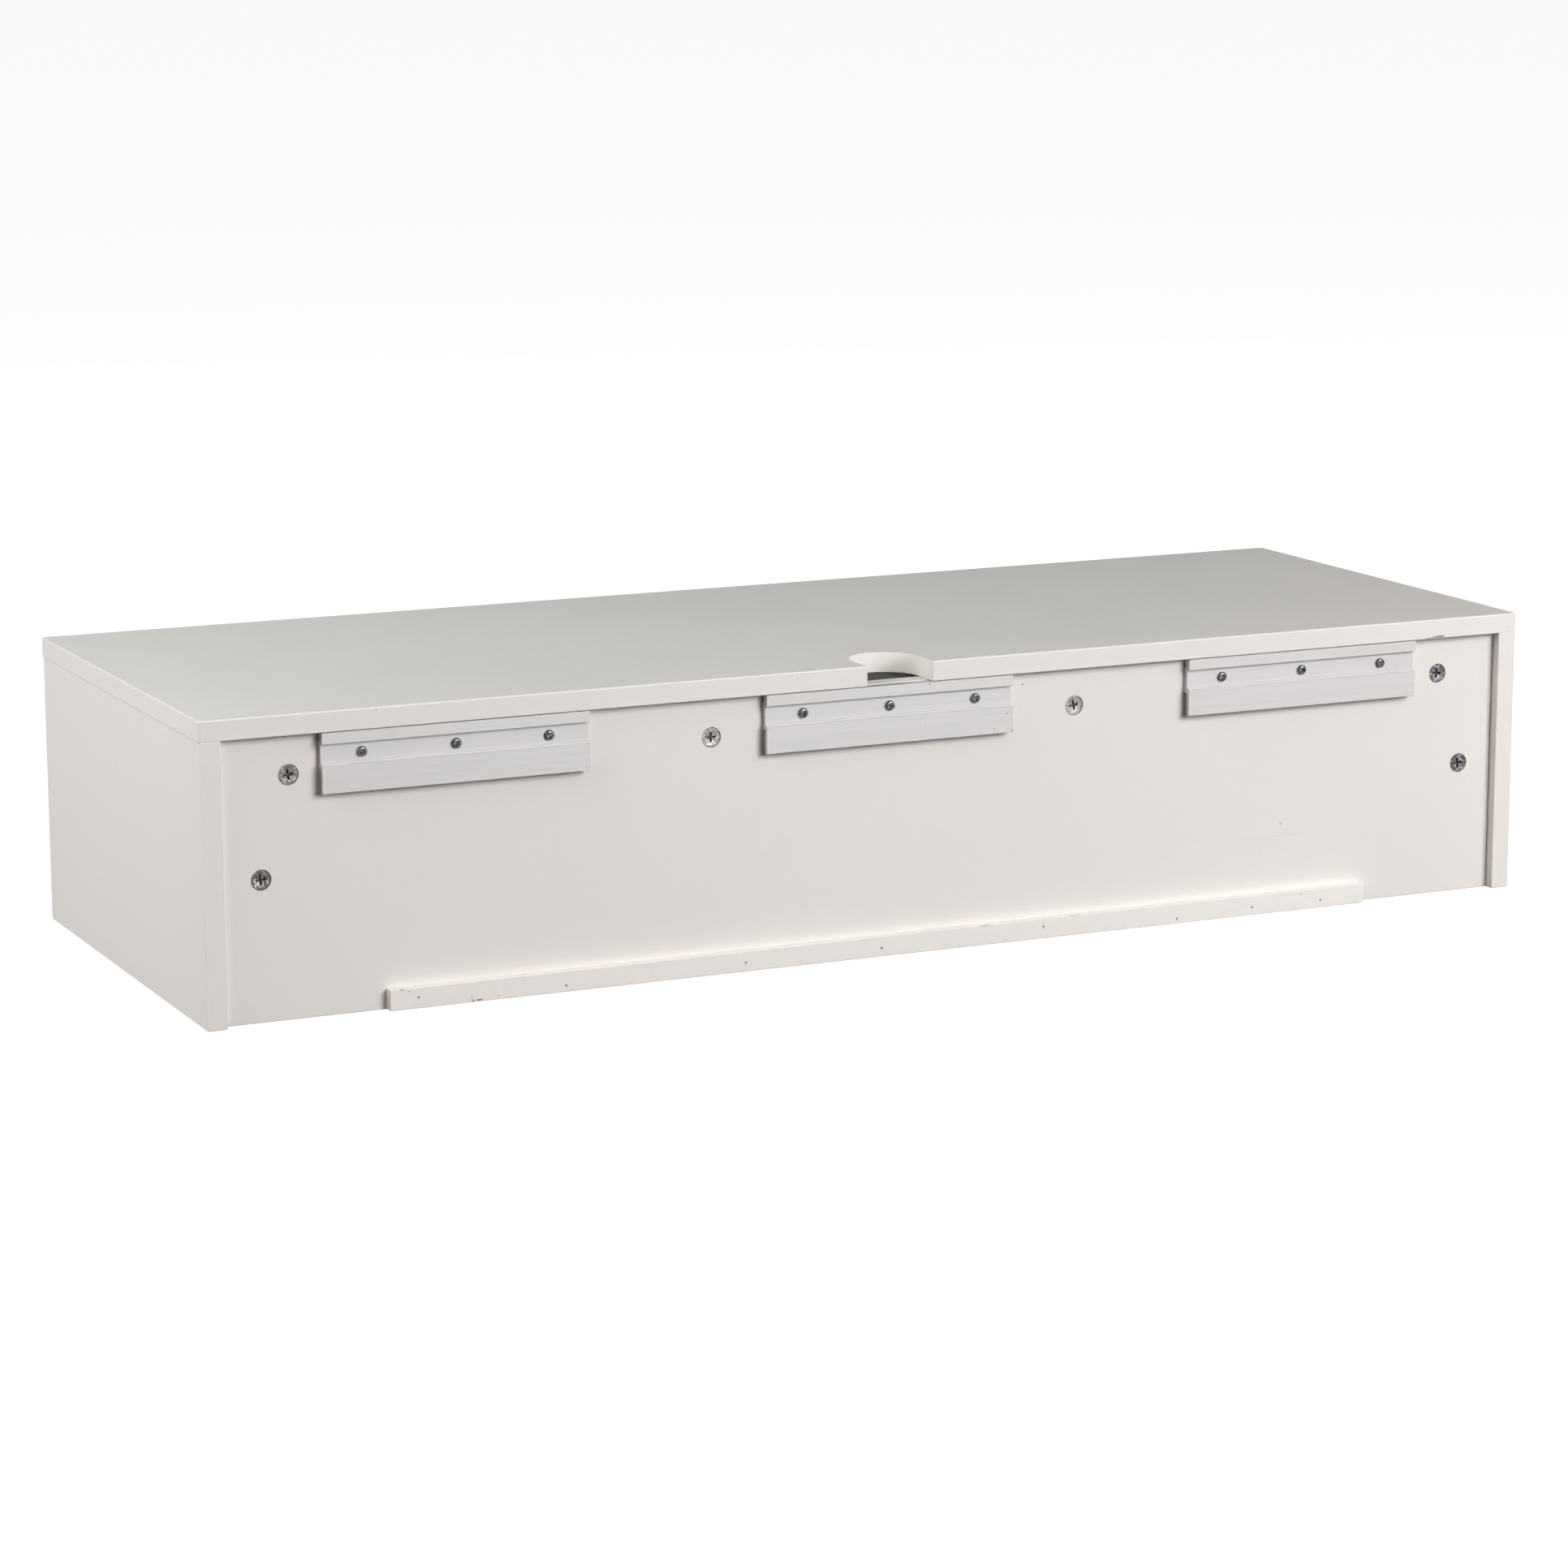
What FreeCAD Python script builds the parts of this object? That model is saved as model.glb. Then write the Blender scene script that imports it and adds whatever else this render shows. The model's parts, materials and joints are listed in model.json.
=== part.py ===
# A wall-hung drawer cabinet of lacquered boards, held together by cam locks, with aluminium
# hanging rails on its back and three inset drawers on ball-bearing slides.
#
# Frame: +Z up, front towards -Y. X = 0 is the middle of the cabinet, Y = 0 is halfway between
# the wall plane and the knobs' ends, Z = 0 is the underside. Left and right are as seen by
# somebody who faces the drawers. All sizes are in millimetres.
import FreeCAD
import Part
import os
from types import SimpleNamespace

import Sketcher
from FreeCAD import Placement, Rotation, Vector

DRIVING = {
    # Carcass
    "width_over_sides": 1066.8,
    "side_depth": 382.5,
    "side_height": 203,
    "board": 15,
    "overhang_sides": 0.9,
    "overhang_front": 1.5,
    "corner_radius": 2.5,
    "arris": 0.8,
    "top_arris": 1.2,
    "under_top_arris": 0.5,
    "back_recess": 8,
    "back_gap": 0.35,
    "cable_space": 37,
    # Cable notch in the top panel's rear edge
    "notch_width": 53.4,
    "notch_straight": 25.1,
    "notch_arris": 0.35,
    "notch_offset": 0.6,
    # Hanging rails, an extrusion cut to length
    "rail_length": 200,
    "left_rail_offset": -342.2,
    "middle_rail_offset": 7.6,
    "right_rail_offset": 345.7,
    "rail_gap": 0.5,
    "rail_web": 4.5,
    "rail_land": 8.2,
    "rail_channel": 13.6,
    "rail_step": 1.2,
    "rail_step_depth": 1.7,
    "rail_ledge": 4,
    "rail_hook": 21.3,
    "rail_hook_thickness": 3.6,
    "rail_arris": 0.35,
    "rail_relief": 2.2,
    "rail_relief_wall": 1.8,
    "rail_screw_pitch": 70,
    "rail_screw_drop": 15.4,
    "rail_screw_hole": 2.2,
    # Spacer strip under the back panel
    "strip_length": 800,
    "strip_height": 15,
    "strip_thickness": 7.6,
    "strip_offset": -0.8,
    # Cam locks and their bolts
    "cam_radius": 7.2,
    "cam_bore": 7.5,
    "cam_thickness": 12,
    "cam_sink": 0.8,
    "cam_setback": 29,
    "outer_cam_offset": 467.9,
    "inner_cam_offset": 148.2,
    "cam_dish_radius": 5.6,
    "cam_dish_depth": 0.55,
    "bolt_thread": 11,
    "bolt_bore": 3.8,
    "bolt_thread_hole": 2.5,
    # Dowels of the carcass and of the drawer boxes
    "dowel_radius": 4,
    "dowel_half": 10,
    "dowel_clearance": 0.5,
    "box_dowel_radius": 3,
    "box_dowel_half": 8,
    "fit": 0.05,
    # Drawers
    "reveal": 2,
    "box_board": 12,
    "box_length": 305,
    "box_height": 120,
    "box_lift": 15,
    "box_bottom": 4,
    "groove_depth": 6,
    "groove_lift": 9,
    # Ball-bearing slides
    "slide_length": 300,
    "slide_space": 12.7,
    "slide_half_height": 17.5,
    "slide_steel": 1.2,
    "slide_travel": 220,
    "slide_start": 2,
    "ball_radius": 2.4,
    "ball_height": 13.65,
    "ball_depth": 4.6,
    "ball_pitch": 18,
    "slide_hole": 3.25,
    "slide_pilot": 1.75,
    "slide_pilot_depth": 10,
    # Knobs
    "knob_radius": 15,
    "knob_reach": 24,
    "knob_screw_radius": 2,
}

# Distances of the fittings behind the front edges
CAM_STATIONS = (60, 270)
DOWEL_STATIONS = (92, 238)
DIVIDER_SCREW_STATIONS = (110, 220)
# Distances of the dowels from the middle of the back panel, in its upper edge and its front face
BACK_UPPER_DOWELS = (310,)
BACK_LOWER_DOWELS = (200, 460)
# Heights of the box dowels about the slides' axis
BOX_DOWEL_STEPS = (-32, 42)
# The row of balls on one side of a cage, in steps of the ball pitch about its middle
BALL_STEPS = (-1.5, -0.5, 0.5, 1.5)
# How far each cam lock in the back panel was turned when it was locked, in degrees
CAM_TURNS = (8, -5, 0, 10, 8, 8)
# The same for the recess of each hanging rail screw
SCREW_TURNS = (20, 48, 5, 30, 80, 62, 15, 70, 40)
# The brads were driven by hand: distance from the middle and height of each
BRADS = ((378, 7.9), (266, 4.6), (125, 6.6), (15, 6.3), (-120, 8.9), (-235, 3.7), (-301, 6), (-362, 5.8))
# Screw holes of a slide, from its front end. They are uneven, so that a slide turned end for end
# on the other side of a divider has its screws elsewhere.
SLIDE_HOLES = (28, 140, 260)
BAYS = {"left": -1, "middle": 0, "right": 1}


class Length:
    """A length that keeps the spreadsheet expression it is worked out from."""

    def __init__(self, value, text):
        self.value = float(value)
        self.text = text

    def join(self, sign, other, value):
        return Length(value, f"({self.text} {sign} {as_length(other).text})")

    def __add__(self, other):
        return self.join("+", other, self.value + as_length(other).value)

    def __sub__(self, other):
        return self.join("-", other, self.value - as_length(other).value)

    def __mul__(self, other):
        return self.join("*", other, self.value * as_length(other).value)

    def __truediv__(self, other):
        return self.join("/", other, self.value / as_length(other).value)

    def __neg__(self):
        return as_length(0) - self

    def __radd__(self, other):
        return as_length(other) + self

    def __rsub__(self, other):
        return as_length(other) - self

    def __rmul__(self, other):
        return as_length(other) * self


def as_length(number):
    if isinstance(number, Length):
        return number
    return Length(number, f"({number})")


def spreadsheet(driving):
    """Writes the driving dimensions to a sheet and returns them as lengths bound to its cells."""
    sheet = doc.addObject("Spreadsheet::Sheet", "Dims")
    for row, (alias, number) in enumerate(driving.items(), start=1):
        sheet.set(f"A{row}", alias)
        sheet.set(f"B{row}", str(number))
        sheet.setAlias(f"B{row}", alias)
    doc.recompute()
    return SimpleNamespace(**{alias: Length(number, "Dims." + alias) for alias, number in driving.items()})


def bind(thing, name, length):
    thing.setExpression(name, as_length(length).text)


# ---------------------------------------------------------------- sketches and features


def new_body(name):
    body = doc.addObject("PartDesign::Body", name)
    body.Label = name
    return body


def new_sketch(body, role, lift=0):
    """A sketch on one of the body's origin planes, moved by lift along the plane's normal."""
    plane = next(item for item in body.Origin.OriginFeatures if item.Role == role)
    sketch = body.newObject("Sketcher::SketchObject", body.Name + "_sketch")
    sketch.AttachmentSupport = (plane, [""])
    sketch.MapMode = "FlatFace"
    bind(sketch, "AttachmentOffset.Base.z", lift)
    return sketch


def hold(sketch, shape, point, across, along):
    """Fixes a point of a sketch at its distances from the sketch's origin."""
    for kind, length, axis in (("DistanceX", across, -2), ("DistanceY", along, -1)):
        length = as_length(length)
        if abs(length.value) < 1e-9:
            sketch.addConstraint(Sketcher.Constraint("PointOnObject", shape, point, axis))
            continue
        number = sketch.addConstraint(Sketcher.Constraint(kind, -1, 1, shape, point, length.value))
        sketch.renameConstraint(number, f"{kind}_{number}")
        bind(sketch, f"Constraints.{kind}_{number}", length)


def flat(point):
    return Vector(as_length(point[0]).value, as_length(point[1]).value, 0)


def outline(sketch, corners):
    """A closed polygon through the corners."""
    first = len(sketch.Geometry)
    following = corners[1:] + corners[:1]
    for start, end in zip(corners, following):
        sketch.addGeometry(Part.LineSegment(flat(start), flat(end)), False)
    for step, corner in enumerate(corners):
        after = first + (step + 1) % len(corners)
        sketch.addConstraint(Sketcher.Constraint("Coincident", first + step, 2, after, 1))
        hold(sketch, first + step, 1, *corner)


def circles(sketch, centres, radius):
    """Equal circles at the centres."""
    radius = as_length(radius)
    rings = []
    for centre in centres:
        ring = sketch.addGeometry(Part.Circle(flat(centre), Vector(0, 0, 1), radius.value), False)
        hold(sketch, ring, 3, *centre)
        rings.append(ring)
    number = sketch.addConstraint(Sketcher.Constraint("Radius", rings[0], radius.value))
    sketch.renameConstraint(number, "ring_size")
    bind(sketch, "Constraints.ring_size", radius)
    for ring in rings[1:]:
        sketch.addConstraint(Sketcher.Constraint("Equal", rings[0], ring))


def rectangle(left, low, width, height):
    return [(left, low), (left + width, low), (left + width, low + height), (left, low + height)]


def cross(half_length, half_width):
    """The twelve corners of a plus sign."""
    arm = [(half_length, -half_width), (half_length, half_width), (half_width, half_width)]
    corners = []
    for _ in range(4):
        corners += arm
        arm = [(-1 * along, across) for across, along in arm]
    return corners


def pad(body, sketch, length, backwards=False):
    feature = body.newObject("PartDesign::Pad", body.Name + "_pad")
    feature.Profile = sketch
    feature.Reversed = backwards
    bind(feature, "Length", length)
    return feature


def pocket(body, sketch, depth, backwards=False):
    feature = body.newObject("PartDesign::Pocket", body.Name + "_pocket")
    feature.Profile = sketch
    feature.Reversed = backwards
    bind(feature, "Length", depth)
    return feature


def revolve(body, corners, kind="Revolution"):
    """Turns an outline of (radius, height) corners about the body's Z axis."""
    sketch = new_sketch(body, "XZ_Plane")
    outline(sketch, corners)
    feature = body.newObject("PartDesign::" + kind, body.Name + "_" + kind.lower())
    feature.Profile = sketch
    feature.ReferenceAxis = (sketch, ["V_Axis"])
    feature.Angle = 360
    return feature


def ease(body, kind, size, chosen=lambda edge: True):
    """Fillets or chamfers the chosen edges of the body as it is so far."""
    doc.recompute()
    base = body.Tip
    names = [f"Edge{n}" for n, edge in enumerate(base.Shape.Edges, start=1) if chosen(edge)]
    feature = body.newObject("PartDesign::" + kind, body.Name + "_" + kind.lower())
    feature.Base = (base, names)
    bind(feature, "Radius" if kind == "Fillet" else "Size", size)
    return feature


def place(thing, spot, rotation=Rotation()):
    thing.Placement = Placement(Vector(*[as_length(value).value for value in spot]), rotation)
    for axis, value in zip("xyz", spot):
        bind(thing, "Placement.Base." + axis, value)


def facing(outward, sideways, turn=0):
    """The rotation that takes +Z to outward and +X to sideways, after a turn about +Z."""
    outward, sideways = Vector(*outward), Vector(*sideways)
    axes = Rotation(sideways, outward.cross(sideways), outward, "ZXY")
    return axes * Rotation(Vector(0, 0, 1), turn)


def group(name, *placed):
    """One sub-part made of placed copies: each entry is (master, spot, rotation)."""
    copies = []
    for master, spot, rotation in placed:
        copy = doc.addObject("App::Link", name + "_copy")
        copy.LinkedObject = master
        place(copy, spot, rotation)
        copies.append(copy)
    compound = doc.addObject("Part::Compound", name)
    compound.Label = name
    compound.Links = copies
    sub_parts.append(compound)


class Board:
    """A flat board with eased edges, placed by its lowest corner. Holes and grooves are given by
    points in the cabinet's frame and are cut square into the named face."""

    # face: sketch plane, the axis it faces along, 1 for the far face, and whether a cut runs backwards
    FACES = {
        "left": ("YZ_Plane", 0, 0, True),
        "right": ("YZ_Plane", 0, 1, False),
        "front": ("XZ_Plane", 1, 0, False),
        "rear": ("XZ_Plane", 1, 1, True),
        "under": ("XY_Plane", 2, 0, True),
        "upper": ("XY_Plane", 2, 1, False),
    }

    def __init__(self, name, low, size, arris=None):
        self.low = [as_length(value) for value in low]
        self.size = [as_length(value) for value in size]
        self.body = new_body(name)
        place(self.body, self.low)
        sketch = new_sketch(self.body, "XY_Plane")
        outline(sketch, rectangle(as_length(0), as_length(0), self.size[0], self.size[1]))
        pad(self.body, sketch, self.size[2])
        if arris:
            ease(self.body, "Fillet", arris)
        sub_parts.append(self.body)

    def face_sketch(self, face):
        plane, axis, far, _ = self.FACES[face]
        lift = self.size[axis] * far
        return new_sketch(self.body, plane, -lift if plane == "XZ_Plane" else lift)

    def on_face(self, face, point):
        normal = self.FACES[face][1]
        return tuple(point[axis] - self.low[axis] for axis in range(3) if axis != normal)

    def cut(self, face, sketch, depth):
        pocket(self.body, sketch, depth, self.FACES[face][3])

    def drill(self, face, points, radius, depth):
        sketch = self.face_sketch(face)
        circles(sketch, [self.on_face(face, point) for point in points], radius)
        self.cut(face, sketch, depth)

    def groove(self, face, low, high, depth):
        sketch = self.face_sketch(face)
        left, bottom = self.on_face(face, low)
        right, top = self.on_face(face, high)
        outline(sketch, [(left, bottom), (right, bottom), (right, top), (left, top)])
        self.cut(face, sketch, depth)


# ---------------------------------------------------------------- fasteners, modelled once each


def cam_lock():
    """A zinc cam, its face at Z = 0 and its hollow open towards +X, where the bolt comes in."""
    body = new_body("cam_lock")
    sketch = new_sketch(body, "XY_Plane")
    circles(sketch, [(0, 0)], D.cam_radius)
    pad(body, sketch, D.cam_thickness, backwards=True)
    rim = 0.35
    ease(body, "Chamfer", rim, lambda edge: edge.BoundBox.ZMin > -0.1)

    floor_radius, clear = 2.4, 0.5
    dish = [(0, clear), (D.cam_dish_radius, clear), (D.cam_dish_radius, 0)]
    dish += [(floor_radius, -D.cam_dish_depth), (0, -D.cam_dish_depth)]
    revolve(body, dish, "Groove")

    arm_reach, arm_half_width, cross_depth = 3.75, 0.85, 2.3
    sketch = new_sketch(body, "XY_Plane")
    outline(sketch, cross(arm_reach, arm_half_width))
    pocket(body, sketch, cross_depth)

    arrow_foot, arrow_tip, arrow_half_width, arrow_depth = 5.9, 6.7, 0.9, 0.5
    arrow = [(arrow_foot, -arrow_half_width), (arrow_tip, 0), (arrow_foot, arrow_half_width)]
    sketch = new_sketch(body, "XY_Plane")
    outline(sketch, arrow)
    pocket(body, sketch, arrow_depth)

    hollow_half_height, hollow_half_width, hollow_rear = 3.6, 3.9, 4
    low = D.cam_sink - D.board / 2 - hollow_half_height
    hollow = rectangle(as_length(-hollow_rear), low, D.cam_radius + hollow_rear + 1, 2 * hollow_half_height)
    sketch = new_sketch(body, "XZ_Plane", -hollow_half_width)
    outline(sketch, hollow)
    pocket(body, sketch, 2 * hollow_half_width, backwards=True)
    return body


def cam_bolt():
    """A steel bolt: its thread runs up from the joint at Z = 0, its head hangs in the cam."""
    body = new_body("cam_bolt")
    thread, point, collar, collar_depth, shank, neck = 2.45, 0.8, 3.5, 1.2, 2.5, 1.9
    head, head_rise, head_fall, head_chamfer = 3.1, 1.5, 2, 1.2
    shoulder_low, shoulder_high = 5, 6
    middle = -D.cam_setback
    corners = [(0, D.bolt_thread), (thread - point, D.bolt_thread), (thread, D.bolt_thread - point)]
    corners += [(thread, 0), (collar, 0), (collar, -collar_depth), (shank, -collar_depth)]
    corners += [(shank, middle + shoulder_high), (neck, middle + shoulder_low), (neck, middle + head_rise)]
    corners += [(head, middle + head_rise), (head, middle + head_chamfer - head_fall)]
    corners += [(head - head_chamfer, middle - head_fall), (0, middle - head_fall)]
    revolve(body, corners)
    return body


def dowel(name, radius, half):
    """A wooden dowel, centred on the joint plane, with chamfered ends."""
    body = new_body(name)
    chamfer = 0.8
    corners = [(0, -half), (radius - chamfer, -half), (radius, chamfer - half)]
    corners += [(radius, half - chamfer), (radius - chamfer, half), (0, half)]
    revolve(body, corners)
    return body


def pan_head_screw(name, head_radius, head_height, shank_radius, length, recess):
    """A cross-recessed pan-head screw that points down, the head standing on Z = 0."""
    body = new_body(name)
    corners = [(0, head_height), (head_radius, head_height), (head_radius, 0), (shank_radius, 0)]
    corners += screw_point(shank_radius, length)
    revolve(body, corners)
    ease(body, "Fillet", head_height * 0.7, lambda edge: is_ring(edge, head_radius, head_height))
    sketch = new_sketch(body, "XY_Plane", head_height)
    outline(sketch, cross(recess, recess / 4))
    pocket(body, sketch, head_height * 0.6)
    mouth, clear = recess * 0.55, 0.5
    cone = [(0, head_height + clear), (mouth, head_height + clear)]
    cone += [(recess * 0.5, head_height), (0, head_height - recess * 0.9)]
    revolve(body, cone, "Groove")
    return body


def flat_head_screw(name, head_radius, head_height, shank_radius, length, recess):
    """A cross-recessed flat-head screw that points down, its head flush with Z = 0."""
    body = new_body(name)
    rim = 0.2
    corners = [(0, 0), (head_radius, 0), (head_radius, -rim), (shank_radius, -head_height)]
    corners += screw_point(shank_radius, length)
    revolve(body, corners)
    sketch = new_sketch(body, "XY_Plane")
    outline(sketch, cross(recess, recess / 4))
    pocket(body, sketch, head_height * 0.6)
    return body


def screw_point(shank_radius, length):
    """The lower end of a screw's outline: a blunt point on its shank."""
    point_length, tip_radius = 3, 0.4
    return [(shank_radius, point_length - length), (tip_radius, -length), (0, -length)]


def is_ring(edge, radius, height):
    box = edge.BoundBox
    return abs(box.ZMin - height) < 0.01 and abs(box.ZMax - height) < 0.01 and abs(box.XMax - radius) < 0.01


# ---------------------------------------------------------------- carcass


def carcass():
    half = D.width_over_sides / 2
    inner = half - D.board
    under_top = D.side_height
    eased = D.arris * 0.75
    across = (-1, 1)
    names = {-1: "left", 1: "right"}

    top = Board(
        "top_panel",
        (-half - D.overhang_sides, front - D.overhang_front, under_top),
        (D.width_over_sides + 2 * D.overhang_sides, D.side_depth + D.overhang_front, D.board),
    )
    shape_top(top)
    sides = {
        s: Board(
            names[s] + "_side_panel",
            (inner if s > 0 else -half, front, 0),
            (D.board, D.side_depth, D.side_height),
            eased,
        )
        for s in across
    }
    back_half = inner - D.back_gap
    back = Board("back_panel", (-back_half, back_front, 0), (2 * back_half, D.board, D.side_height), eased)
    bottom = Board("bottom_panel", (-inner, front, 0), (2 * inner, back_front - front, D.board), eased)
    dividers = {
        s: Board(
            names[s] + "_divider",
            (s * divider_middle - D.board / 2, front, D.board),
            (D.board, back_front - D.cable_space - front, D.side_height - D.board),
            eased,
        )
        for s in across
    }
    cam_joints(top, sides, back, bottom, dividers, inner)
    dowel_joints(top, sides, back, bottom, dividers, inner)
    divider_screws(bottom, dividers)
    slide_screw_holes(sides, dividers)
    hanging_rails(back)
    spacer_strip(back)


def shape_top(top):
    """The cable notch, rounded corners and eased edges of the top panel."""
    middle = top.size[0] / 2 + D.notch_offset
    depth = top.size[1]
    radius = D.notch_width / 2
    start = depth - D.notch_straight
    sketch = new_sketch(top.body, "XY_Plane", D.board)
    outline(sketch, rectangle(middle - radius, start, D.notch_width, D.notch_straight + 1))
    pocket(top.body, sketch, D.board)
    sketch = new_sketch(top.body, "XY_Plane", D.board)
    circles(sketch, [(middle, start)], radius)
    pocket(top.body, sketch, D.board)
    length = top.size[0].value

    def upright(edge):
        return edge.BoundBox.ZLength > D.board.value - 0.1 and edge.BoundBox.XLength < 0.1

    def corner(edge):
        return upright(edge) and (edge.BoundBox.XMin < 1 or edge.BoundBox.XMax > length - 1)

    def in_notch(edge):
        box = edge.BoundBox
        return box.XMin > (middle - radius).value - 0.1 and box.XMax < (middle + radius).value + 0.1

    def outer(edge):
        return edge.BoundBox.ZLength < 0.1 and not in_notch(edge)

    def upper(edge):
        return outer(edge) and edge.BoundBox.ZMin > D.board.value / 2

    def lower(edge):
        return outer(edge) and edge.BoundBox.ZMax < D.board.value / 2

    def rim(edge):
        return in_notch(edge) and not (upright(edge) and edge.BoundBox.YMax < depth.value - 1)

    ease(top.body, "Fillet", D.corner_radius, corner)
    ease(top.body, "Fillet", D.top_arris, upper)
    ease(top.body, "Fillet", D.under_top_arris, lower)
    ease(top.body, "Fillet", D.notch_arris, rim)


def cam_joints(top, sides, back, bottom, dividers, inner):
    """Cam locks and bolts. Each lock sits in a face of one board, and its bolt runs through that
    board's middle into the next board."""
    locks, bolts = [], []
    bolt_height = D.side_height - D.cam_setback
    lock = cam_lock()
    bolt = cam_bolt()

    def join(board, face, spot, outward, other, other_face, towards, turn=0):
        """spot is the lock's centre on the board's face; towards is the bolt's direction."""
        reach = [axis * D.cam_setback for axis in towards]
        middle = [value - axis * D.board / 2 for value, axis in zip(spot, outward)]
        joint = [value + step for value, step in zip(middle, reach)]
        edge_face = {"under": "upper", "left": "right", "right": "left"}[other_face]
        board.drill(face, [spot], D.cam_bore, D.cam_thickness + D.cam_sink + D.fit)
        board.drill(edge_face, [joint], D.bolt_bore, D.cam_setback - D.cam_radius + 1)
        other.drill(other_face, [joint], D.bolt_thread_hole, D.bolt_thread + D.dowel_clearance)
        sunk = [value - axis * D.cam_sink for value, axis in zip(spot, outward)]
        locks.append((lock, sunk, facing(outward, towards, turn)))
        bolts.append((bolt, joint, facing(towards, outward)))

    turns = iter(CAM_TURNS)
    up = (0, 0, 1)
    for offset in (D.outer_cam_offset, D.inner_cam_offset):
        for s in (1, -1):
            spot = (s * offset, back_rear, bolt_height)
            join(back, "rear", spot, (0, 1, 0), top, "under", up, next(turns))
    for s, own_face, facing_side in ((1, "left", "left"), (-1, "right", "right")):
        sideways = (s, 0, 0)
        spot = (s * (inner - D.cam_setback), back_rear, D.side_height / 2)
        join(back, "rear", spot, (0, 1, 0), sides[s], facing_side, sideways, next(turns))
        for station in CAM_STATIONS:
            y = front + station
            spot = (s * inner, y, bolt_height)
            join(sides[s], own_face, spot, (-s, 0, 0), top, "under", up)
            spot = (s * (divider_middle - D.board / 2), y, bolt_height)
            join(dividers[s], own_face, spot, (-s, 0, 0), top, "under", up)
            spot = (s * (inner - D.cam_setback), y, 0)
            join(bottom, "under", spot, (0, 0, -1), sides[s], facing_side, sideways)
    group("cam_locks", *locks)
    group("cam_bolts", *bolts)


def dowel_joints(top, sides, back, bottom, dividers, inner):
    master = dowel("dowel", D.dowel_radius, D.dowel_half)
    radius = D.dowel_radius + D.fit
    depth = D.dowel_half + D.dowel_clearance
    spots = []
    back_middle = back_front + D.board / 2
    points = [(s * x, back_middle, D.side_height) for s in (1, -1) for x in BACK_UPPER_DOWELS]
    uprights = [(back, points)]
    for s in (1, -1):
        for board, x in ((sides[s], inner + D.board / 2), (dividers[s], divider_middle)):
            uprights.append((board, [(s * x, front + y, D.side_height) for y in DOWEL_STATIONS]))
    for board, points in uprights:
        board.drill("upper", points, radius, depth)
        top.drill("under", points, radius, depth)
        spots += [(point, Rotation()) for point in points]
    points = [(s * x, back_front, D.board / 2) for s in (1, -1) for x in BACK_LOWER_DOWELS]
    back.drill("front", points, radius, depth)
    bottom.drill("rear", points, radius, depth)
    spots += [(point, facing((0, 1, 0), (1, 0, 0))) for point in points]
    for s, face, end in ((1, "left", "right"), (-1, "right", "left")):
        points = [(s * inner, front + y, D.board / 2) for y in DOWEL_STATIONS]
        sides[s].drill(face, points, radius, depth)
        bottom.drill(end, points, radius, depth)
        spots += [(point, facing((1, 0, 0), (0, 1, 0))) for point in points]
    group("wooden_dowels", *[(master, spot, rotation) for spot, rotation in spots])


def divider_screws(bottom, dividers):
    """Long screws up through the bottom panel into the dividers' lower edges."""
    length, head, head_height, shank, recess = 48, 4.8, 3.4, 3.2, 2.8
    countersink = head_height + 0.1
    master = flat_head_screw("divider_screw", head, head_height, shank, length, recess)
    placed = []
    for s in (1, -1):
        points = [(s * divider_middle, front + y, as_length(0)) for y in DIVIDER_SCREW_STATIONS]
        bottom.drill("under", points, shank + D.fit, D.board)
        bottom.drill("under", points, head + D.fit, countersink)
        lower_edge = [(x, y, D.board) for x, y, _ in points]
        dividers[s].drill("under", lower_edge, shank + D.fit, length - D.board + 1)
        placed += [(master, point, facing((0, 0, -1), (1, 0, 0))) for point in points]
    group("divider_screws", *placed)


def rail_section():
    """The rails' section, from the back panel outwards and from the upper edge down: a land, a
    channel for the screws, a stepped ledge, and the hook, which hangs clear of the back panel."""
    depth = D.back_recess
    channel_low = D.rail_land + D.rail_channel
    step_low = channel_low + D.rail_step
    step_front = D.rail_web + D.rail_step_depth
    web_low = channel_low + D.rail_ledge
    hook_low = channel_low + D.rail_hook
    hook_front = depth - D.rail_hook_thickness
    relief_low = D.rail_land - D.rail_relief_wall
    section = [(0, 0), (depth, 0), (depth, -D.rail_land), (D.rail_web, -D.rail_land)]
    section += [(D.rail_web, -channel_low), (step_front, -channel_low)]
    section += [(step_front, -step_low), (depth, -step_low), (depth, -hook_low)]
    section += [(hook_front, -hook_low), (hook_front, -web_low), (0, -web_low)]
    section += [(0, -relief_low), (D.rail_relief, -relief_low)]
    section += [(D.rail_relief, -D.rail_relief_wall), (0, -D.rail_relief_wall)]
    return section


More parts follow.
